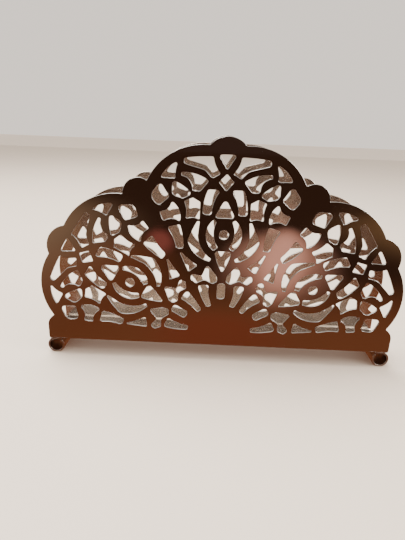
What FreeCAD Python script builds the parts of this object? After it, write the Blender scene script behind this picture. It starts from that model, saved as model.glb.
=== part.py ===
"""Fan-shaped openwork napkin holder of polished stainless sheet, in millimetres.

Two upright pierced panels fold inwards at their foot and carry a flat base plate between them.
Each foot is a strip under one end of the flanges: a flat tab, then a roll that reaches from bend
to bend. The sheets lie flat on each other, plate on flanges and flanges on tabs.

Frame: +X to the right, +Y to the rear, +Z up. The origin is on the table, midway between the
panels and midway between the feet. Each panel's pattern is drawn once as a motif, in "across"
(sideways from the motif's axis) and "along" (up that axis), and turned about the fan centre.
"""
import FreeCAD, Part
import math
import os

from FreeCAD import Vector

# Driving dimensions
fan_unit = 43.6  # from the fan centre to the middle of each motif's eye hole
holder_depth = 22.4  # over the outer faces of the two panels
sheet = 0.8  # thickness of every sheet
bend_radius = 0.8  # inside the fold at the foot of a panel
flange_width = 7.0  # from a panel's outer face to the free edge of its folded flange
band_drop = 6.0  # from the fan centre down to the underside of the flanges
shoulder_reach = 2.9  # how far the plain band stands out past the last dome notch
shoulder_drop = 4.2  # height over which the shoulder rounds out to the band's side
notch_rounding = 0.3  # in the sharp notches between lobes
foot_diameter = 7.2  # outside of the rolled feet
foot_overhang = 1.5  # how far a foot stands out past the side of the band
tab_length = 9.0  # flat strip of a foot, from the middle of its roll inwards
tab_inset = 1.6  # how far the tab is set back from each end of its roll
seam_gap = 0.3  # between the free edge of a roll and its own flat strip
plate_clearance = 0.2  # between the base plate's edges and the folds
plate_inset = 1.0  # from the side of the band to the end of the base plate

# The fan: motif axes, in degrees from upright
motif_angles = (-60.0, 0.0, 60.0)

# Lobes of one motif's edge, as shares of the fan unit (across, along)
bump_notch = (0.158, 1.782)
bump_top = (0.0, 1.857)
dome_crown = (0.45, 1.7236)
dome_notch = (0.70, 1.464)
lobe_radius = 1.695  # from the fan centre to the top of the small lobe between two domes

# Holes of one motif, as shares of the fan unit. Corners run clockwise seen from the front:
# (across, along, rounding, bow of the side that leaves the corner, outwards if positive).
eye_hole = (0.0, 1.0, 0.044)  # across, along, radius
axis_holes = {
    "tip_triangle": [
        (-0.078, 1.702, 0.016, 0.004),
        (0.078, 1.702, 0.016, 0.0),
        (0.0, 1.578, 0.010, 0.0),
    ],
    "tip_diamond": [
        (0.0, 1.543, 0.010, 0.0),
        (0.067, 1.474, 0.014, 0.0),
        (0.0, 1.395, 0.010, 0.0),
        (-0.067, 1.474, 0.014, 0.0),
    ],
    "brow_triangle": [
        (0.0, 1.330, 0.025, 0.0),
        (0.096, 1.154, 0.022, 0.0),
        (-0.096, 1.154, 0.022, 0.0),
    ],
    "chin_triangle": [
        (-0.078, 0.844, 0.025, 0.0),
        (0.078, 0.844, 0.025, 0.010),
        (0.0, 0.636, 0.012, 0.010),
    ],
    "middle_ray": [
        (-0.038, 0.530, 0.030, 0.0),
        (0.038, 0.530, 0.030, 0.0),
        (0.038, 0.373, 0.030, 0.0),
        (-0.038, 0.373, 0.030, 0.0),
    ],
}
paired_holes = {
    "bump_slot": [
        (0.123, 1.686, 0.015, 0.005),
        (0.381, 1.666, 0.024, 0.0),
        (0.374, 1.620, 0.024, 0.0),
        (0.190, 1.572, 0.080, 0.0),
        (0.125, 1.503, 0.018, 0.0),
        (0.055, 1.545, 0.014, -0.014),
    ],
    "dome_leaf": [
        (0.155, 1.480, 0.016, 0.022),
        (0.398, 1.546, 0.012, 0.0),
        (0.395, 1.516, 0.010, -0.038),
        (0.305, 1.388, 0.026, 0.0),
        (0.228, 1.388, 0.026, 0.0),
    ],
    "dome_triangle": [
        (0.424, 1.637, 0.012, 0.020),
        (0.580, 1.492, 0.014, 0.0),
        (0.448, 1.492, 0.014, -0.012),
    ],
    "dome_egg": [
        (0.583, 1.458, 0.030, 0.0),
        (0.672, 1.335, 0.060, 0.0),
        (0.600, 1.240, 0.035, 0.0),
        (0.500, 1.330, 0.020, 0.0),
    ],
    "cheek_oval": [
        (0.476, 1.474, 0.025, 0.0),
        (0.478, 1.345, 0.050, 0.0),
        (0.378, 1.318, 0.045, 0.0),
        (0.305, 1.362, 0.020, 0.015),
    ],
    "brow_petal": [
        (0.044, 1.404, 0.018, 0.0),
        (0.158, 1.404, 0.020, 0.012),
        (0.201, 1.182, 0.028, 0.0),
        (0.120, 1.180, 0.022, -0.022),
    ],
    "cheek_shield": [
        (0.292, 1.328, 0.012, 0.0),
        (0.368, 1.296, 0.010, -0.016),
        (0.356, 1.128, 0.012, -0.022),
        (0.227, 1.130, 0.010, 0.0),
        (0.226, 1.292, 0.010, 0.0),
    ],
    "cheek_star": [
        (0.480, 1.290, 0.014, -0.030),
        (0.590, 1.195, 0.014, 0.0),
        (0.552, 1.106, 0.014, -0.028),
        (0.404, 1.106, 0.014, 0.034),
    ],
    "eye_petal": [
        (0.095, 1.138, 0.012, 0.074),
        (0.085, 0.850, 0.014, 0.0),
        (0.050, 0.880, 0.012, -0.034),
        (0.072, 1.118, 0.010, 0.0),
    ],
    "eye_crescent": [
        (0.246, 1.118, 0.010, 0.005),
        (0.329, 0.932, 0.060, 0.038),
        (0.125, 0.742, 0.010, 0.0),
        (0.106, 0.766, 0.010, -0.030),
        (0.238, 0.985, 0.0, 0.0),
        (0.225, 1.118, 0.008, 0.0),
    ],
    "side_slot": [
        (0.402, 1.083, 0.018, 0.0),
        (0.520, 1.055, 0.020, -0.014),
        (0.430, 0.855, 0.028, 0.0),
        (0.366, 0.862, 0.018, 0.009),
    ],
    "side_triangle": [
        (0.419, 0.864, 0.009, 0.0),
        (0.314, 0.633, 0.014, 0.0),
        (0.230, 0.700, 0.012, -0.012),
    ],
    "throat_blob": [
        (0.140, 0.712, 0.018, 0.0),
        (0.186, 0.598, 0.020, 0.0),
        (0.284, 0.614, 0.022, 0.0),
        (0.292, 0.560, 0.016, 0.0),
        (0.240, 0.520, 0.024, 0.0),
        (0.165, 0.562, 0.050, 0.0),
        (0.085, 0.522, 0.026, 0.0),
        (0.040, 0.548, 0.020, 0.0),
        (0.048, 0.600, 0.036, 0.0),
    ],
    "side_ray": [
        (0.118, 0.507, 0.018, 0.003),
        (0.222, 0.500, 0.024, 0.010),
        (0.128, 0.285, 0.018, 0.0),
        (0.085, 0.300, 0.014, -0.015),
    ],
}

# Sizes that follow from the driving dimensions
underside = foot_diameter  # the flanges lie on the tops of the feet
fan_height = underside + band_drop
outer_bend = bend_radius + sheet
half_depth = holder_depth / 2
roll_radius = foot_diameter / 2
roll_half_length = half_depth - outer_bend
tab_half_width = roll_half_length - tab_inset
punch_margin = 1.0  # how far a cutter passes each face of the sheet


def panel_point(across, along, y=0.0, angle=0.0):
    """A motif point in millimetres on the panel, with the motif's axis turned from upright."""
    turn = math.radians(angle)
    x = across * math.cos(turn) + along * math.sin(turn)
    z = along * math.cos(turn) - across * math.sin(turn)
    return Vector(x * fan_unit, y, z * fan_unit)


def band_half_width():
    """Half the width of the plain band, from the last dome notch and the shoulder."""
    return panel_point(*dome_notch, angle=motif_angles[-1]).x + shoulder_reach


def side_edge(start, end, bow):
    """A straight side, or an arc that stands out to the left of travel by the bow."""
    if bow == 0.0:
        return Part.LineSegment(start, end).toShape()
    run = end - start
    left = Vector(-run.z, 0, run.x).normalize()
    return Part.Arc(start, (start + end) / 2 + left * bow, end).toShape()


def nearest_cross_edge(solid, point):
    """The edge along Y that passes closest to a point of the outline."""
    def miss(edge):
        low, high = edge.Vertexes[0].Point, edge.Vertexes[-1].Point
        return sum(math.hypot(end.x - point.x, end.z - point.z) for end in (low, high))

    return min(solid.Edges, key=miss)


def rounded_prism(edges, roundings, y_length):
    """The outline pushed along Y, with its named corners rounded."""
    solid = Part.Face(Part.Wire(edges)).extrude(Vector(0, y_length, 0))
    for point, radius in roundings:
        if radius > 0.0:
            solid = solid.makeFillet(radius, [nearest_cross_edge(solid, point)])
    return solid


def hole_punch(corners):
    """The cutter of one hole, in the upright motif's place."""
    points = [panel_point(across, along, -punch_margin) for across, along, _, _ in corners]
    edges = []
    for index, corner in enumerate(corners):
        following = points[(index + 1) % len(points)]
        edges.append(side_edge(points[index], following, corner[3] * fan_unit))
    roundings = [(point, corner[2] * fan_unit) for point, corner in zip(points, corners)]
    return rounded_prism(edges, roundings, sheet + 2 * punch_margin)


def motif_punches():
    """The cutters of one upright motif: its eye, the holes on its axis and the mirrored pairs."""
    across, along, radius = eye_hole
    centre = panel_point(across, along, -punch_margin)
    depth = sheet + 2 * punch_margin
    punches = [Part.makeCylinder(radius * fan_unit, depth, centre, Vector(0, 1, 0))]
    punches += [hole_punch(corners) for corners in axis_holes.values()]
    for corners in paired_holes.values():
        right = hole_punch(corners)
        punches += [right, right.mirror(Vector(0, 0, 0), Vector(1, 0, 0))]
    return punches


def fan_outline():
    """Edges and rounded corners of a panel's upright sheet, clockwise from the left shoulder."""
    edges = []
    notches = []
    bump_out = (-bump_notch[0], bump_notch[1])
    dome_in = (-dome_crown[0], dome_crown[1])
    notch_in = (-dome_notch[0], dome_notch[1])
    for angle in motif_angles:
        arcs = (
            (notch_in, dome_in, bump_out),
            (bump_out, bump_top, bump_notch),
            (bump_notch, dome_crown, dome_notch),
        )
        for start, middle, end in arcs:
            edges.append(Part.Arc(*[panel_point(*p, angle=angle) for p in (start, middle, end)]).toShape())
            notches.append(panel_point(*end, angle=angle))
        if angle != motif_angles[-1]:
            step = (motif_angles[1] - motif_angles[0]) / 2
            start = panel_point(*dome_notch, angle=angle)
            middle = panel_point(0.0, lobe_radius, angle=angle + step)
            end = panel_point(*notch_in, angle=angle + 2 * step)
            edges.append(Part.Arc(start, middle, end).toShape())
            notches.append(end)

    shoulder = panel_point(*dome_notch, angle=motif_angles[-1])
    half_width = band_half_width()
    shoulder_end = Vector(half_width, 0, shoulder.z - shoulder_drop)
    leave = Vector(shoulder.x + 0.6 * shoulder_reach, 0, shoulder.z - 0.35 * shoulder_drop)
    sheet_foot = Vector(half_width, 0, outer_bend - band_drop)
    mirrored = [Vector(-p.x, 0, p.z) for p in (shoulder, leave, shoulder_end, sheet_foot)]
    edges.append(Part.Arc(shoulder, leave, shoulder_end).toShape())
    edges.append(Part.LineSegment(shoulder_end, sheet_foot).toShape())
    edges.append(Part.LineSegment(sheet_foot, mirrored[3]).toShape())
    edges.append(Part.LineSegment(mirrored[3], mirrored[2]).toShape())
    edges.append(Part.Arc(mirrored[2], mirrored[1], mirrored[0]).toShape())
    notches.append(mirrored[0])
    return edges, [(point, notch_rounding) for point in notches]


def foot_centre_x():
    """Middle of the right foot's roll, which is also the outer end of its flat strip."""
    return band_half_width() + foot_overhang - roll_radius


def folded_foot():
    """The quarter bend and the flat flange at the foot of a panel whose front face is at Y 0."""
    bottom = -band_drop
    diagonal = math.sqrt(0.5)
    centre = Vector(-band_half_width(), outer_bend, bottom + outer_bend)

    def on_bend(radius, y_share, z_share):
        return centre + Vector(0, -radius * y_share, -radius * z_share)

    outer = [on_bend(outer_bend, 1, 0), on_bend(outer_bend, diagonal, diagonal), on_bend(outer_bend, 0, 1)]
    inner = [on_bend(bend_radius, 0, 1), on_bend(bend_radius, diagonal, diagonal), on_bend(bend_radius, 1, 0)]
    flange_edge = Vector(-band_half_width(), flange_width, bottom)
    raised = Vector(0, 0, sheet)
    section = Part.Wire([
        Part.Arc(*outer).toShape(),
        Part.LineSegment(outer[2], flange_edge).toShape(),
        Part.LineSegment(flange_edge, flange_edge + raised).toShape(),
        Part.LineSegment(flange_edge + raised, inner[0]).toShape(),
        Part.Arc(*inner).toShape(),
        Part.LineSegment(inner[2], outer[0]).toShape(),
    ])
    return Part.Face(section).extrude(Vector(2 * band_half_width(), 0, 0))


def front_panel():
    """Pierced sheet and folded flange, standing at the front of the holder."""
    edges, roundings = fan_outline()
    panel = rounded_prism(edges, roundings, sheet)
    punches = []
    for angle in motif_angles:
        for punch in motif_punches():
            turned = punch.copy()
            turned.rotate(Vector(0, 0, 0), Vector(0, 1, 0), angle)
            punches.append(turned)
    panel = panel.cut(Part.makeCompound(punches))
    panel = panel.fuse(folded_foot()).removeSplitter()
    panel.translate(Vector(0, -half_depth, fan_height))
    return panel


def base_plate():
    """Flat plate on top of both flanges, between the folds."""
    half_length = band_half_width() - plate_inset
    half_width = half_depth - outer_bend - plate_clearance
    corner = Vector(-half_length, -half_width, underside + sheet)
    plate = Part.makeBox(2 * half_length, 2 * half_width, sheet, corner)
    uprights = [e for e in plate.Edges if abs(e.Vertexes[0].Z - e.Vertexes[1].Z) > sheet / 2]
    return plate.makeFillet(plate_inset, uprights)


def right_foot():
    """A tab under the flanges, then a wider strip rolled outwards and round to a free edge."""
    centre = Vector(foot_centre_x(), -roll_half_length, roll_radius)
    inner_radius = roll_radius - sheet
    # The roll stops where its outside would come within the seam gap of the flat strip.
    seam_angle = math.acos(1 - (sheet + seam_gap) / roll_radius)
    sweep = 2 * math.pi - seam_angle

    def on_roll(radius, turn):
        return centre + Vector(radius * math.sin(turn), 0, radius * math.cos(turn))

    flat_top = on_roll(roll_radius, 0) - Vector(roll_radius * math.sin(seam_angle), 0, 0)
    flat_low = flat_top - Vector(0, 0, sheet)
    section = Part.Wire([
        Part.LineSegment(flat_top, on_roll(roll_radius, 0)).toShape(),
        Part.Arc(*[on_roll(roll_radius, sweep * share) for share in (0, 0.5, 1)]).toShape(),
        Part.LineSegment(on_roll(roll_radius, sweep), on_roll(inner_radius, sweep)).toShape(),
        Part.Arc(*[on_roll(inner_radius, sweep * share) for share in (1, 0.5, 0)]).toShape(),
        Part.LineSegment(on_roll(inner_radius, 0), flat_low).toShape(),
        Part.LineSegment(flat_low, flat_top).toShape(),
    ])
    roll = Part.Face(section).extrude(Vector(0, 2 * roll_half_length, 0))
    tab_corner = Vector(centre.x - tab_length, -tab_half_width, underside - sheet)
    tab = Part.makeBox(flat_top.x - tab_corner.x, 2 * tab_half_width, sheet, tab_corner)
    return roll.fuse(tab).removeSplitter()


def main():
    """Builds every piece and writes each one to its own file."""
    front = front_panel()
    foot = right_foot()
    nodes = {
        "front_panel": front,
        "rear_panel": front.mirror(Vector(0, 0, 0), Vector(0, 1, 0)),
        "base_plate": base_plate(),
        "left_foot": foot.mirror(Vector(0, 0, 0), Vector(1, 0, 0)),
        "right_foot": foot,
    }
    os.makedirs("parts", exist_ok=True)
    for name, shape in nodes.items():
        shape.exportStep(f"parts/{name}.step")
        box = shape.BoundBox
        print(f"{name}: {len(shape.Solids)} solid(s), {shape.Volume:.1f} mm3, valid {shape.isValid()}, "
              f"{box.XLength:.2f} x {box.YLength:.2f} x {box.ZLength:.2f} mm")


main()
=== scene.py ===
"""Looks of a fan-shaped openwork napkin holder of polished stainless sheet, in metres.

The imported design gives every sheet's shape and place. Each sheet is rebuilt here with burnished
edges, tagged where its cut edges show, and dressed in procedural steel. The studio at the end
holds the floor, the lights and the camera.
"""
import logging
import math
from dataclasses import dataclass
from enum import Enum

import bmesh
import bpy
from mathutils import Matrix, Vector


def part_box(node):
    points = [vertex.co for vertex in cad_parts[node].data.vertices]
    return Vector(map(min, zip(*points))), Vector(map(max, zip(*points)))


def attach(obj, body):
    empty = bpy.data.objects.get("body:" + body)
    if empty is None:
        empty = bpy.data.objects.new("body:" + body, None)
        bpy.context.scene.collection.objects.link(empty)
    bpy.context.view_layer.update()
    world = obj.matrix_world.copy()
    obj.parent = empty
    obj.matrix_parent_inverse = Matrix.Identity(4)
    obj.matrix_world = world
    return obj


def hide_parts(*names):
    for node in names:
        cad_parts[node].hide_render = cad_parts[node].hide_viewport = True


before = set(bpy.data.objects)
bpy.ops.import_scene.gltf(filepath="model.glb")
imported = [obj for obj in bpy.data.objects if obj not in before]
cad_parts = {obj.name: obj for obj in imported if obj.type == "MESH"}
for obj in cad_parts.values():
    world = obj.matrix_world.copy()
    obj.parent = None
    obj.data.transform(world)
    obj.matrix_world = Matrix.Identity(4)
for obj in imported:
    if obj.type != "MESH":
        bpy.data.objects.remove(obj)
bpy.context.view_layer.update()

LOG = logging.getLogger("napkin_holder")
MM = 0.001
BODY = "root"
CUT_EDGE = "cut_edge"
MILL_FACE = "mill_face"


class Axis(Enum):
    """The way a flat sheet faces, and so the direction that its cut edges never face."""

    DEPTH = 1
    UP = 2


# ---------------------------------------------------------------- shader node helpers


class NodeBench:
    """Short calls for adding and joining nodes in one node tree."""

    def __init__(self, tree: bpy.types.NodeTree) -> None:
        """Keeps the tree that the nodes go into.

        Args:
            tree: a material's or a group's node tree.
        """
        self.tree = tree

    def add(self, kind: str, inputs: dict | None = None, **settings: object) -> bpy.types.Node:
        """Adds a node, sets its options and fills or links its inputs.

        Args:
            kind: the node's type name, without the leading "ShaderNode".
            inputs: input name or number to a value or to another node's output socket.
            **settings: options of the node itself.

        Returns:
            The new node.
        """
        node = self.tree.nodes.new("ShaderNode" + kind)
        for name, value in settings.items():
            setattr(node, name, value)
        for key, value in (inputs or {}).items():
            self.feed(node.inputs[key], value)
        return node

    def feed(self, socket: bpy.types.NodeSocket, value: object) -> None:
        """Links a socket to an output, or sets its value.

        Args:
            socket: the input socket to fill.
            value: an output socket, or a plain value.
        """
        if isinstance(value, bpy.types.NodeSocket):
            self.tree.links.new(value, socket)
        else:
            socket.default_value = value

    def maths(
        self, operation: str, first: object, second: object = 0.0, third: object = 0.0,
    ) -> bpy.types.NodeSocket:
        """Adds a math node.

        Args:
            operation: the math node's operation, such as "MULTIPLY".
            first: a value or an output socket.
            second: a value or an output socket.
            third: a value or an output socket, which MULTIPLY_ADD adds.

        Returns:
            The node's output socket.
        """
        return self.add("Math", {0: first, 1: second, 2: third}, operation=operation).outputs[0]

    def mix_tones(self, share: object, first: object, second: object) -> bpy.types.NodeSocket:
        """Mixes two colours.

        Args:
            share: weight of the second colour.
            first: an output socket, or a colour's red, green and blue.
            second: an output socket, or a colour's red, green and blue.

        Returns:
            The mixed colour's output socket.
        """
        tone_a, tone_b = ((*tone, 1.0) if isinstance(tone, tuple) else tone for tone in (first, second))
        return self.add("Mix", {0: share, 6: tone_a, 7: tone_b}, data_type="RGBA").outputs[2]

    def mix_values(self, share: object, first: object, second: object) -> bpy.types.NodeSocket:
        """Mixes two plain values.

        Args:
            share: weight of the second value.
            first: an output socket or a value.
            second: an output socket or a value.

        Returns:
            The mixed value's output socket.
        """
        return self.add("Mix", {0: share, 2: first, 3: second}, data_type="FLOAT").outputs[0]

    def ramp(
        self, value: object, low: float, high: float, start: float = 0.0, end: float = 1.0,
    ) -> bpy.types.NodeSocket:
        """Maps a value smoothly from low..high to start..end.

        Args:
            value: the socket to map.
            low: the input that gives start.
            high: the input that gives end.
            start: the output at low.
            end: the output at high.

        Returns:
            The mapped output socket.
        """
        inputs = {"Value": value, "From Min": low, "From Max": high, "To Min": start, "To Max": end}
        return self.add("MapRange", inputs, interpolation_type="SMOOTHSTEP").outputs["Result"]

    def place(self, scale: tuple, turn: tuple = (0.0, 0.0, 0.0)) -> bpy.types.NodeSocket:
        """Object coordinates, turned and scaled.

        Args:
            scale: pattern repeats per metre along X, Y and Z.
            turn: rotation in radians about X, Y and Z, made before the scaling.

        Returns:
            The vector output socket.
        """
        source = self.add("TexCoord").outputs["Object"]
        turned = self.add("Mapping", {"Vector": source, "Rotation": turn}).outputs[0]
        return self.add("Mapping", {"Vector": turned, "Scale": scale}).outputs[0]

    def noise(self, vector: object, detail: float = 2.0, rough: float = 0.5) -> bpy.types.NodeSocket:
        """Adds a noise texture that repeats about once per unit of its vector.

        Args:
            vector: the coordinates.
            detail: octaves of finer noise.
            rough: weight of the finer octaves.

        Returns:
            The noise value's output socket.
        """
        inputs = {"Vector": vector, "Scale": 1.0, "Detail": detail, "Roughness": rough}
        return self.add("TexNoise", inputs).outputs[0]


class SurfaceEffects:
    """The shader groups shared by the finishes, each built once and then reused."""

    def __init__(self) -> None:
        """Starts with no groups built."""
        self.groups: dict[str, bpy.types.NodeTree] = {}

    def place(self, bench: NodeBench, name: str, amount: float = 1.0) -> bpy.types.NodeSocket:
        """Puts a group into a material.

        Args:
            bench: the material's bench.
            name: the name of the group's builder method.
            amount: value of the group's Amount input.

        Returns:
            The group's output socket.
        """
        if name not in self.groups:
            self.groups[name] = getattr(self, name)()
        node = bench.add("Group", node_tree=self.groups[name])
        node.inputs["Amount"].default_value = amount
        return node.outputs[0]

    @staticmethod
    def start(name: str, result: str) -> tuple[NodeBench, bpy.types.NodeSocket, bpy.types.Node]:
        """Makes an empty group with an Amount input and one output.

        Args:
            name: the group's name.
            result: the output's name.

        Returns:
            The group's bench, its Amount socket and its output node.
        """
        tree = bpy.data.node_groups.new(name, "ShaderNodeTree")
        tree.interface.new_socket(name="Amount", in_out="INPUT", socket_type="NodeSocketFloat")
        tree.interface.new_socket(name=result, in_out="OUTPUT", socket_type="NodeSocketFloat")
        bench = NodeBench(tree)
        amount = tree.nodes.new("NodeGroupInput").outputs["Amount"]
        return bench, amount, tree.nodes.new("NodeGroupOutput")

    def sheet_waviness(self) -> bpy.types.NodeTree:
        """Slow hollows and swells left by rolling, piercing and polishing.

        Returns:
            The group's node tree, with a Height output.
        """
        bench, amount, out = self.start("sheet_waviness", "Height")
        slow = bench.noise(bench.place((24.0, 24.0, 34.0)), detail=0.0)
        quick = bench.noise(bench.place((130.0, 130.0, 130.0)), detail=1.0)
        both = bench.maths("MULTIPLY_ADD", quick, 0.06, slow)
        bench.feed(out.inputs[0], bench.maths("MULTIPLY", both, amount))
        return bench.tree

    def hairline_scratches(self) -> bpy.types.NodeTree:
        """Long fine scratches from polishing and handling, in three directions.

        Returns:
            The group's node tree, with a Mask output.
        """
        bench, amount, out = self.start("hairline_scratches", "Mask")
        directions = ((0.12, 0.05, 0.03), (-0.35, 0.9, 0.5), (0.6, -0.7, -0.4))
        lines = None
        for number, turn in enumerate(directions):
            fine = 1500.0 + 400.0 * number
            grain = bench.noise(bench.place((45.0, fine, fine), turn), detail=1.0)
            miss = bench.maths("ABSOLUTE", bench.maths("SUBTRACT", grain, 0.5 + 0.07 * (number - 1)))
            line = bench.ramp(miss, 0.0, 0.012, 1.0, 0.0)
            lines = line if lines is None else bench.maths("MAXIMUM", lines, line)
        patches = bench.ramp(bench.noise(bench.place((90.0, 90.0, 90.0))), 0.42, 0.62)
        broken = bench.maths("MULTIPLY", lines, patches)
        bench.feed(out.inputs[0], bench.maths("MULTIPLY", broken, amount))
        return bench.tree

    def finger_marks(self) -> bpy.types.NodeTree:
        """Faint greasy blotches with fine skin ridges in them.

        Returns:
            The group's node tree, with a Mask output.
        """
        bench, amount, out = self.start("finger_marks", "Mask")
        spot = bench.place((55.0, 55.0, 48.0), (0.2, 0.4, 0.1))
        cell = bench.add("TexVoronoi", {"Vector": spot, "Scale": 1.0, "Randomness": 0.9})
        pad = bench.ramp(cell.outputs["Distance"], 0.24, 0.36, 1.0, 0.0)
        chosen = bench.add("SeparateColor", {0: cell.outputs["Color"]}).outputs[0]
        touched = bench.maths("MULTIPLY", pad, bench.ramp(chosen, 0.62, 0.66))
        swirl = {"Vector": bench.place((1.0, 1.0, 1.0)), "Scale": 620.0, "Distortion": 9.0, "Detail": 1.0,
                 "Detail Scale": 0.12}
        rings = bench.add("TexWave", swirl, wave_type="RINGS").outputs["Fac"]
        ridges = bench.ramp(rings, 0.2, 0.8, 0.35, 1.0)
        film = bench.ramp(bench.noise(bench.place((38.0, 38.0, 30.0)), detail=4.0), 0.45, 0.8, 0.0, 0.55)
        marks = bench.maths("MAXIMUM", bench.maths("MULTIPLY", touched, ridges), film)
        bench.feed(out.inputs[0], bench.maths("MULTIPLY", marks, amount))
        return bench.tree

    def dried_drops(self) -> bpy.types.NodeTree:
        """Small rings and specks where water dried.

        Returns:
            The group's node tree, with a Mask output.
        """
        bench, amount, out = self.start("dried_drops", "Mask")
        cell = bench.add("TexVoronoi", {"Vector": bench.place((210.0, 210.0, 210.0)), "Scale": 1.0})
        radius = bench.add("SeparateColor", {0: cell.outputs["Color"]})
        size = bench.ramp(radius.outputs[1], 0.0, 1.0, 0.10, 0.30)
        miss = bench.maths("ABSOLUTE", bench.maths("SUBTRACT", cell.outputs["Distance"], size))
        ring = bench.ramp(miss, 0.0, 0.05, 1.0, 0.0)
        few = bench.maths("MULTIPLY", ring, bench.ramp(radius.outputs[0], 0.80, 0.84))
        bench.feed(out.inputs[0], bench.maths("MULTIPLY", few, amount))
        return bench.tree

    def cut_striations(self) -> bpy.types.NodeTree:
        """Fine ridges across the thickness of a cut edge.

        Returns:
            The group's node tree, with a Height output.
        """
        bench, amount, out = self.start("cut_striations", "Height")
        ridges = bench.noise(bench.place((5200.0, 420.0, 5200.0)), detail=2.0)
        bench.feed(out.inputs[0], bench.maths("MULTIPLY", ridges, amount))
        return bench.tree

    def settled_dust(self) -> bpy.types.NodeTree:
        """Thin dust on what faces up.

        Returns:
            The group's node tree, with a Mask output.
        """
        bench, amount, out = self.start("settled_dust", "Mask")
        up = bench.add("SeparateXYZ", {0: bench.add("NewGeometry").outputs["Normal"]}).outputs[2]
        level = bench.ramp(up, 0.75, 1.0)
        grains = bench.ramp(bench.noise(bench.place((700.0, 700.0, 700.0)), detail=3.0, rough=0.7), 0.5, 0.72)
        drift = bench.ramp(bench.noise(bench.place((40.0, 60.0, 40.0))), 0.3, 0.7, 0.3, 1.0)
        dust = bench.maths("MULTIPLY", bench.maths("MULTIPLY", grains, drift), level)
        bench.feed(out.inputs[0], bench.maths("MULTIPLY", dust, amount))
        return bench.tree


# ---------------------------------------------------------------- finishes


@dataclass(frozen=True)
class SteelFinish:
    """Polished stainless steel, with the wear of a thing that is handled at table."""

    name: str
    tint: tuple[float, float, float]
    edge_tint: tuple[float, float, float] = (0.60, 0.59, 0.57)
    polish: float = 0.035  # roughness of the clean polished face
    edge_roughness: float = 0.34
    # the inner faces' tone, paler and warmer than the polished face: painted light on the inner faces seen
    # through the holes
    inner_painted_light_tint: tuple[float, float, float] = (0.90, 0.82, 0.74)
    mill_roughness: float = 0.26  # of the side that is left as the mill rolled it
    soil_roughness: float = 0.22  # added where the face is soiled all over
    scratch_roughness: float = 0.16  # added in the middle of a scratch
    grease_shade: float = 0.90  # how much of its tone the steel keeps under a finger mark
    dust_tint: tuple[float, float, float] = (0.52, 0.50, 0.47)
    waviness: float = 0.020 * MM  # height of the sheet's slow swells
    scratches: float = 0.5
    finger_marks: float = 0.5
    drops: float = 0.4
    dust: float = 0.3

    def material(self, effects: SurfaceEffects) -> bpy.types.Material:
        """Builds the steel.

        Args:
            effects: the shared shader groups.

        Returns:
            The material.
        """
        steel = bpy.data.materials.new(self.name)
        steel.use_nodes = True
        bench = NodeBench(steel.node_tree)
        shader = steel.node_tree.nodes["Principled BSDF"]
        shader.inputs["Metallic"].default_value = 1.0

        edge = bench.add("Attribute", attribute_name=CUT_EDGE).outputs["Fac"]
        mill = bench.add("Attribute", attribute_name=MILL_FACE).outputs["Fac"]
        polished = bench.maths("SUBTRACT", 1.0, mill)
        hairlines = effects.place(bench, "hairline_scratches", self.scratches)
        scratch = bench.maths("MULTIPLY", polished, hairlines)
        touched = effects.place(bench, "finger_marks", self.finger_marks)
        drops = effects.place(bench, "dried_drops", self.drops)
        dust = effects.place(bench, "settled_dust", self.dust)

        soiled = bench.maths("MAXIMUM", bench.maths("MAXIMUM", touched, drops), dust)
        face_rough = bench.ramp(soiled, 0.0, 1.0, self.polish, self.polish + self.soil_roughness)
        scratched = bench.maths("MULTIPLY_ADD", scratch, self.scratch_roughness, face_rough)
        satin = bench.mix_values(mill, scratched, self.mill_roughness)
        bench.feed(shader.inputs["Roughness"], bench.mix_values(edge, satin, self.edge_roughness))

        greasy = tuple(self.grease_shade * part for part in self.tint)
        face = bench.mix_tones(touched, self.tint, greasy)
        dusty = bench.mix_tones(dust, face, self.dust_tint)
        # the inner faces take the paler, warmer tone of painted light
        inner_toned = bench.mix_tones(mill, dusty, self.inner_painted_light_tint)
        bench.feed(shader.inputs["Base Color"], bench.mix_tones(edge, inner_toned, self.edge_tint))

        swell = effects.place(bench, "sheet_waviness")
        slow = bench.add("Bump", {"Distance": self.waviness, "Height": swell}).outputs[0]
        groove = {"Strength": 0.35, "Distance": 0.004 * MM, "Height": scratch, "Normal": slow}
        hair = bench.add("Bump", groove, invert=True).outputs[0]
        ridges = bench.maths("MULTIPLY", effects.place(bench, "cut_striations"), edge)
        cut = bench.add("Bump", {"Strength": 0.6, "Distance": 0.02 * MM, "Height": ridges, "Normal": hair})
        bench.feed(shader.inputs["Normal"], cut.outputs[0])
        return steel


@dataclass(frozen=True)
class PlainFinish:
    """A plain matt stage surface with a faint mottle."""

    name: str
    tint: tuple[float, float, float]
    roughness: float = 0.6
    mottle_shade: float = 0.96  # the mottle's darkest tone, as a share of the tint

    def material(self) -> bpy.types.Material:
        """Builds the surface.

        Returns:
            The material.
        """
        plain = bpy.data.materials.new(self.name)
        plain.use_nodes = True
        bench = NodeBench(plain.node_tree)
        shader = plain.node_tree.nodes["Principled BSDF"]
        shader.inputs["Roughness"].default_value = self.roughness
        mottle = bench.noise(bench.place((9.0, 9.0, 9.0)), detail=3.0)
        deep = tuple(self.mottle_shade * part for part in self.tint)
        bench.feed(shader.inputs["Base Color"], bench.mix_tones(mottle, deep, self.tint))
        return plain


@dataclass(frozen=True)
class SoftSpot:
    """An oval of another tone on a card, fading out to its rim, which paints a highlight or a patch into the
    steel's reflections.
    """

    middle: tuple[float, float]
    reach: tuple[float, float]
    turn: float  # in degrees, seen from above
    tone: tuple[float, float, float]


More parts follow.
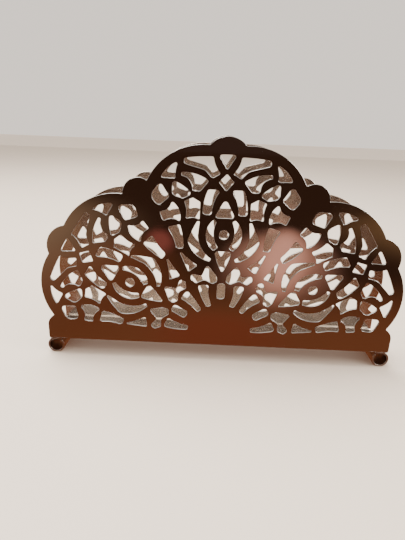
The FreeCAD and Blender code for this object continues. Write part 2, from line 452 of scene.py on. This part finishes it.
@dataclass(frozen=True)
class GlowFinish:
    """A glowing card, fading from a near tone to a far one, which paints reflections into the steel."""

    name: str
    near: tuple[float, float, float]
    far: tuple[float, float, float]
    near_y: float = 0.0  # the fade's start and end, on both sides of the holder
    far_y: float = 1.0
    spots: tuple[SoftSpot, ...] = ()

    def material(self) -> bpy.types.Material:
        """Builds the card's surface.

        Returns:
            The material.
        """
        card = bpy.data.materials.new(self.name)
        card.use_nodes = True
        bench = NodeBench(card.node_tree)
        card.node_tree.nodes.remove(card.node_tree.nodes["Principled BSDF"])
        here = bench.add("TexCoord").outputs["Object"]
        away = bench.maths("ABSOLUTE", bench.add("SeparateXYZ", {0: here}).outputs[1])
        fade = bench.ramp(away, self.near_y, self.far_y)
        tone = bench.mix_tones(fade, self.near, self.far)
        for spot in self.spots:
            oval = {"Vector": here, "Location": (*spot.middle, 0.0), "Scale": (*spot.reach, 1.0),
                    "Rotation": (0.0, 0.0, math.radians(spot.turn))}
            local = bench.add("Mapping", oval, vector_type="TEXTURE").outputs[0]
            reach = bench.add("VectorMath", {0: local}, operation="LENGTH").outputs["Value"]
            inside = bench.ramp(reach, 0.25, 1.0, 1.0, 0.0)
            tone = bench.mix_tones(inside, tone, spot.tone)
        glow = bench.add("Emission", {"Color": tone, "Strength": 1.0}).outputs[0]
        bench.feed(card.node_tree.nodes["Material Output"].inputs["Surface"], glow)
        return card


# ---------------------------------------------------------------- pieces


@dataclass
class SheetPiece:
    """A sheet-metal piece, rebuilt from its design node with burnished edges.

    Attributes:
        node: the design node that it stands for.
        slot: the record's material slot; not used.
        facing: the way the sheet's flat faces look.
        edge_round: width of the burnished edge.
        edge_steps: faces across the burnished edge.
    """

    node: str
    slot: str
    facing: Axis
    edge_round: float = 0.10 * MM
    edge_steps: int = 2

    def build(self, steel: bpy.types.Material) -> bpy.types.Object:
        """Makes the piece, tags its cut edges and dresses it.

        Args:
            steel: the finish of the whole piece.

        Returns:
            The finished object.
        """
        shape = self.rounded_shape()
        mesh = bpy.data.meshes.new(self.node + "_sheet")
        self.tag_faces(shape)
        shape.to_mesh(mesh)
        shape.free()
        mesh.materials.append(steel)
        piece = bpy.data.objects.new(self.node + "_sheet", mesh)
        bpy.context.scene.collection.objects.link(piece)
        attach(piece, BODY)
        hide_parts(self.node)
        return piece

    def rounded_shape(self) -> bmesh.types.BMesh:
        """Copies the design node and rounds its sharp edges.

        Returns:
            The new shape, which the caller frees.
        """
        shape = bmesh.new()
        shape.from_mesh(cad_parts[self.node].data)
        bmesh.ops.remove_doubles(shape, verts=shape.verts, dist=0.002 * MM)
        bmesh.ops.dissolve_degenerate(shape, edges=shape.edges, dist=0.002 * MM)
        sharp = [e for e in shape.edges if len(e.link_faces) == 2 and e.calc_face_angle() > math.radians(50)]
        bmesh.ops.bevel(
            shape, geom=sharp, offset=self.edge_round, segments=self.edge_steps, profile=0.5,
            affect="EDGES", clamp_overlap=False, loop_slide=False,
        )
        return shape

    def tag_faces(self, shape: bmesh.types.BMesh) -> None:
        """Marks cut edges and unpolished faces, and smooths everything but the flats.

        Args:
            shape: the rounded shape.
        """
        tests = {CUT_EDGE: self.is_cut_edge, MILL_FACE: self.is_mill_face}
        for name in tests:
            shape.loops.layers.float.new(name)
        for name, test in tests.items():
            tag = shape.loops.layers.float[name]
            for face in shape.faces:
                value = 1.0 if test(face) else 0.0
                for corner in face.loops:
                    corner[tag] = value
        for face in shape.faces:
            face.smooth = max(abs(part) for part in face.normal) < 0.9999

    def is_mill_face(self, face: bmesh.types.BMFace) -> bool:
        """Whether a face is left as the mill rolled it. None is, unless a piece says so.

        Args:
            face: a face of the rounded shape.

        Returns:
            False.
        """
        return False

    def is_cut_edge(self, face: bmesh.types.BMFace) -> bool:
        """Whether a face belongs to the sheet's cut edge.

        Args:
            face: a face of the rounded shape.

        Returns:
            True on a cut edge, False on a polished face.
        """
        return abs(face.normal[self.facing.value]) < 0.5


@dataclass
class PiercedPanel(SheetPiece):
    """One upright pierced panel, with the bend and the flange at its foot."""

    bend_height: float = 1.6 * MM

    def __post_init__(self) -> None:
        """Finds the height where the bend ends, and the way that the polished side looks."""
        low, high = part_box(self.node)
        self.bend_top = low[2] + self.bend_height
        self.outwards = Vector((0.0, math.copysign(1.0, low[1] + high[1]), -1.0))

    def is_cut_edge(self, face: bmesh.types.BMFace) -> bool:
        """Whether a face belongs to a pierced hole, the fan's rim or the flange's edge.

        Args:
            face: a face of the rounded shape.

        Returns:
            True on a cut edge, False on a polished face.
        """
        if face.calc_center_median().z > self.bend_top:
            return super().is_cut_edge(face)
        return abs(face.normal.x) > 0.5

    def is_mill_face(self, face: bmesh.types.BMFace) -> bool:
        """Whether a face is on the panel's inner side, which the polisher doesn't reach.

        Args:
            face: a face of the rounded shape.

        Returns:
            True on the inner side.
        """
        return face.normal.dot(self.outwards) < 0.0


@dataclass
class RolledFoot(SheetPiece):
    """A strip with a flat tab, rolled into a tube that the holder stands on."""

    def is_cut_edge(self, face: bmesh.types.BMFace) -> bool:
        """Whether a face belongs to the strip's open ends.

        Args:
            face: a face of the rounded shape.

        Returns:
            True on an open end, False on the rolled faces.
        """
        return abs(face.normal[self.facing.value]) > 0.5


@dataclass
class NapkinHolder:
    """The whole holder: two pierced panels, the base plate and the rolled feet."""

    effects: SurfaceEffects

    def build(self) -> None:
        """Builds and dresses every piece, and reports each one."""
        panel = SteelFinish("polished_panel_steel", tint=(0.66, 0.65, 0.64)).material(self.effects)
        base = SteelFinish(
            "polished_base_steel", tint=(0.60, 0.57, 0.54), polish=0.20, scratches=0.8, dust=0.5,
        ).material(self.effects)
        foot = SteelFinish(
            "rolled_foot_steel", tint=(0.72, 0.69, 0.66), polish=0.08, waviness=0.012 * MM,
        ).material(self.effects)
        sheets = (
            (PiercedPanel("front_panel", "polished_panel", Axis.DEPTH), panel),
            (PiercedPanel("rear_panel", "polished_panel", Axis.DEPTH), panel),
            (SheetPiece("base_plate", "polished_base", Axis.UP), base),
            (RolledFoot("left_foot", "rolled_foot", Axis.DEPTH), foot),
            (RolledFoot("right_foot", "rolled_foot", Axis.DEPTH), foot),
        )
        for maker, steel in sheets:
            piece = maker.build(steel)
            LOG.info("%s: %d faces", piece.name, len(piece.data.polygons))


# ---------------------------------------------------------------- studio


@dataclass
class Studio:
    """Pale floor, soft lights, cards for the steel to reflect, and the camera.

    Attributes:
        floor_reach: half the side of the floor.
        before: distance of the camera in front of the front panel.
        beside: how far the camera stands to the right of the holder's middle.
        above: height of the camera over the flanges' underside.
        yaw: turn of the camera to the right, in degrees.
        pitch: tilt of the camera downwards, in degrees.
        roll: turn of the camera about its own view, in degrees.
        view_share: focal length as a share of the picture's long side.
    """

    floor_reach: float = 3.0
    before: float = 161.2 * MM
    beside: float = -5.6 * MM
    above: float = 89.45 * MM
    yaw: float = -0.83
    pitch: float = 18.77
    roll: float = 2.22
    view_share: float = 0.7735

    def build(self) -> None:
        """Sets up everything round the holder."""
        self.lay_floor()
        self.hang_cards()
        self.light()
        self.set_camera()

    @staticmethod
    def sheet(
        name: str, corners: list[tuple[float, float, float]], finish: bpy.types.Material,
    ) -> bpy.types.Object:
        """Makes one flat stage surface.

        Args:
            name: the object's name.
            corners: its four corners.
            finish: its material.

        Returns:
            The stage object.
        """
        mesh = bpy.data.meshes.new(name)
        mesh.from_pydata(corners, [], [(0, 1, 2, 3)])
        mesh.materials.append(finish)
        surface = bpy.data.objects.new(name, mesh)
        bpy.context.scene.collection.objects.link(surface)
        return surface

    def lay_floor(self) -> None:
        """Lays the pale floor under the feet."""
        reach = self.floor_reach
        corners = [(-reach, -reach, 0.0), (reach, -reach, 0.0), (reach, reach, 0.0), (-reach, reach, 0.0)]
        self.sheet("floor", corners, PlainFinish("pale_floor", (0.86, 0.76, 0.66)).material())

    def hang_cards(self) -> None:
        """Puts glowing cards round the holder, which only reflections show: a painted reflection of a warm
        table and of a dark room.
        """
        painted_reflection_spots = (
            # painted reflections set where the front panel reflects them: a bright pink highlight right of
            # the middle (the two spots near x 0.05), a dark patch left of the middle, and warmer and paler
            # patches elsewhere
            SoftSpot((0.0, -0.035), (0.045, 0.040), 0.0, (0.215, 0.050, 0.022)),
            SoftSpot((-0.085, -0.12), (0.085, 0.13), 0.0, (0.17, 0.050, 0.020)),
            SoftSpot((-0.26, -0.19), (0.22, 0.33), 0.0, (0.37, 0.21, 0.12)),
            SoftSpot((0.25, -0.27), (0.16, 0.17), 0.0, (0.22, 0.11, 0.05)),
            SoftSpot((0.052, -0.175), (0.055, 0.120), 12.0, (0.56, 0.25, 0.17)),
            SoftSpot((0.055, -0.180), (0.025, 0.125), 12.0, (1.00, 0.45, 0.32)),
            SoftSpot((-0.050, -0.212), (0.017, 0.058), -9.0, (0.28, 0.070, 0.050)),
        )
        table = GlowFinish(
            "painted_reflection_warm_card", (0.20, 0.062, 0.025), (0.042, 0.0175, 0.0095), 0.030, 0.150, painted_reflection_spots,
        )
        room = GlowFinish("painted_reflection_dark_card", (0.053, 0.025, 0.017), (0.053, 0.025, 0.017))
        side, reach, lift, top = 2.4, 1.6, 0.3 * MM, 1.8
        lying = [(-side, -reach, lift), (side, -reach, lift), (side, reach, lift), (-side, reach, lift)]
        cards = [("painted_table_reflection_card", lying, table)]
        for name, y in (("front_card", -reach), ("rear_card", reach)):
            standing = [(-side, y, 0.0), (side, y, 0.0), (side, y, top), (-side, y, top)]
            cards.append((name, standing, room))
        for name, corners, finish in cards:
            card = self.sheet(name, corners, finish.material())
            # no camera, diffuse or shadow ray sees these cards, so their glow is painted reflection in the
            # steel only
            for rays in ("camera", "diffuse", "shadow", "transmission", "volume_scatter"):
                setattr(card, "visible_" + rays, False)

    @staticmethod
    def area(name: str, place: tuple, target: tuple, size: float, power: float, tint: tuple) -> None:
        """Hangs one soft square light.

        Args:
            name: the light's name.
            place: where it hangs.
            target: where it points.
            size: side of the square.
            power: its power in watts.
            tint: its colour.
        """
        lamp = bpy.data.lights.new(name, "AREA")
        lamp.size = size
        lamp.energy = power
        lamp.color = tint
        hung = bpy.data.objects.new(name, lamp)
        hung.location = place
        hung.rotation_euler = (Vector(target) - Vector(place)).to_track_quat("-Z", "Y").to_euler()
        bpy.context.scene.collection.objects.link(hung)

    def light(self) -> None:
        """Sets the soft overhead light, a side fill and the pale surroundings."""
        self.area("overhead", (-0.25, 0.15, 0.75), (0.0, 0.02, 0.0), 0.6, 14.0, (1.0, 0.95, 0.88))
        self.area("side_fill", (0.7, -0.25, 0.45), (0.0, 0.0, 0.04), 0.4, 4.0, (1.0, 0.92, 0.84))
        world = bpy.data.worlds.new("pale_room")
        world.use_nodes = True
        back = world.node_tree.nodes["Background"]
        back.inputs["Color"].default_value = (0.90, 0.81, 0.72, 1.0)
        back.inputs["Strength"].default_value = 1.35
        bpy.context.scene.world = world
        bpy.context.scene.cycles.max_bounces = 16  # light goes to and fro between the panels
        bpy.context.scene.cycles.glossy_bounces = 14

    def set_camera(self) -> None:
        """Stands the camera in front and above, looking down at the fan."""
        low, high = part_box("front_panel")
        data = bpy.data.cameras.new("camera")
        data.lens = self.view_share * data.sensor_width
        data.clip_start = 0.005
        camera = bpy.data.objects.new("camera", data)
        yaw, pitch, roll = (math.radians(angle) for angle in (self.yaw, self.pitch, self.roll))
        forward = Vector((math.sin(yaw) * math.cos(pitch), math.cos(yaw) * math.cos(pitch), -math.sin(pitch)))
        right = Vector((math.cos(yaw), -math.sin(yaw), 0.0))
        upward = right.cross(forward)
        side = math.cos(roll) * right + math.sin(roll) * upward
        top = math.cos(roll) * upward - math.sin(roll) * right
        camera.matrix_world = Matrix((side, top, -forward)).transposed().to_4x4()
        middle = (low[0] + high[0]) / 2
        camera.location = (middle + self.beside, low[1] - self.before, low[2] + self.above)
        bpy.context.scene.collection.objects.link(camera)
        bpy.context.scene.camera = camera


def main() -> None:
    """Builds the holder and the studio."""
    logging.basicConfig(level=logging.INFO, format="%(name)s %(message)s")
    NapkinHolder(SurfaceEffects()).build()
    Studio().build()


if __name__ == "__main__":
    main()
